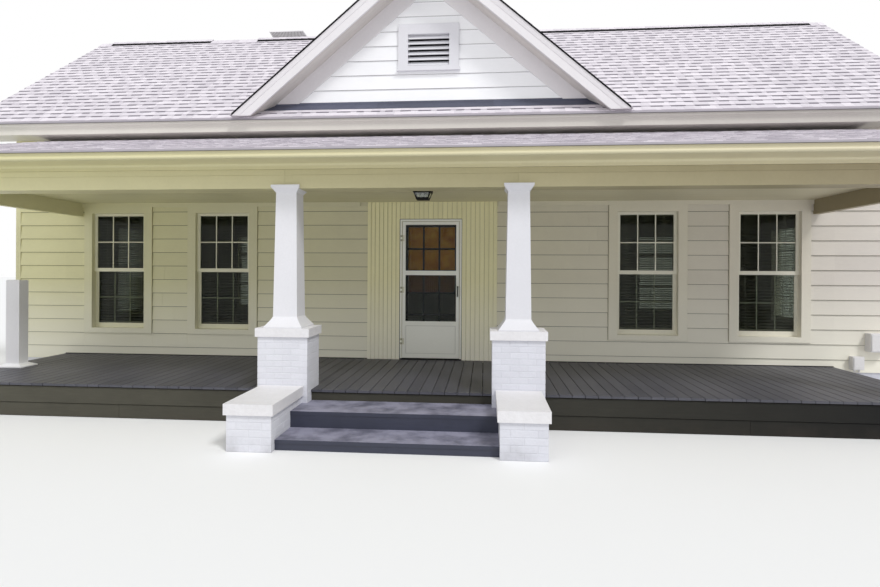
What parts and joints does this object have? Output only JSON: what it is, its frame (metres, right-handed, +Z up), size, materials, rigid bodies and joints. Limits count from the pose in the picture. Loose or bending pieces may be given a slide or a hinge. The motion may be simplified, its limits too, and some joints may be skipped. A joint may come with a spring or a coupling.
{
  "type": "bungalow",
  "caption": "Single-storey timber bungalow with a front gable, a full-width porch on brick piers and tapered columns, and double doors in its doorway.",
  "frame": {"origin": "centre of the footprint's bounding box, on the ground", "axes": "+X to the right along the front as seen from the street, +Y from the porch to the back of the house, +Z up"},
  "size_m": [14.1686, 8.904, 6.606],
  "materials": {
    "siding": "painted cream, satin, lapped boards",
    "gable_siding": "painted white, satin, lapped boards",
    "masonry": "painted brickwork, matt",
    "stone_cap": "painted concrete, matt",
    "trim": "painted, satin",
    "porch_paint": "painted cream, satin boards and mouldings",
    "deck_paint": "painted floor boards, satin",
    "joist_wood": "bare softwood",
    "floor_wood": "varnished boards",
    "plaster": "matt painted plaster",
    "glass": "clear, glossy",
    "blind": "horizontal slats",
    "door_paint": "dark varnish",
    "storm_metal": "painted aluminium, satin",
    "knob_brass": "polished",
    "black_metal": "black, satin",
    "shingle": "asphalt shingles with mineral grains, matt",
    "vent_metal": "painted, satin"
  },
  "bodies": {
    "house": {"foundation": "masonry", "house_floor": "floor_wood", "house_ceiling": "plaster", "front_wall_left": "siding", "front_wall_right": "siding", "front_wall_head": "siding", "back_wall": "siding", "end_walls": "siding", "gable_wall": "gable_siding", "wall_trim": "porch_paint", "entry_panel": "porch_paint", "window_frames": "porch_paint", "window_sashes": "porch_paint", "window_glass": "glass", "window_blinds": "blind", "door_frame": "porch_paint", "door_hinges": "knob_brass", "porch_deck": "deck_paint", "porch_frame": "joist_wood", "porch_skirt": "deck_paint", "porch_steps": "deck_paint", "porch_piers": "masonry", "cheek_walls": "masonry", "masonry_caps": "stone_cap", "porch_columns": "trim", "newel_post": "trim", "porch_ceiling": "porch_paint", "porch_beams": "porch_paint", "porch_roof": "shingle", "porch_eaves": "porch_paint", "main_roof_front": "shingle", "main_roof_back": "shingle", "main_eaves": "trim", "rake_boards": "trim", "gable_roof": "shingle", "gable_vent": "trim", "roof_vent": "vent_metal", "porch_light": "black_metal", "utility_boxes": "vent_metal"},
    "front_door": {"front_door": "door_paint", "front_door_glass": "glass", "front_door_fittings": "knob_brass"},
    "storm_door": {"storm_door": "storm_metal", "storm_door_glass": "glass", "storm_door_fittings": "black_metal"}
  },
  "joints": [
    {"name": "front_door_hinge", "type": "hinge", "parent": "house", "child": "front_door", "pos_m": [-0.3877, -1.1057, 1.43], "axis": [0, 0, 1], "range_deg": [0, 90]},
    {"name": "storm_door_hinge", "type": "hinge", "parent": "house", "child": "storm_door", "pos_m": [-0.3895, -1.2643, 1.43], "axis": [0, 0, -1], "range_deg": [0, 90]}
  ]
}
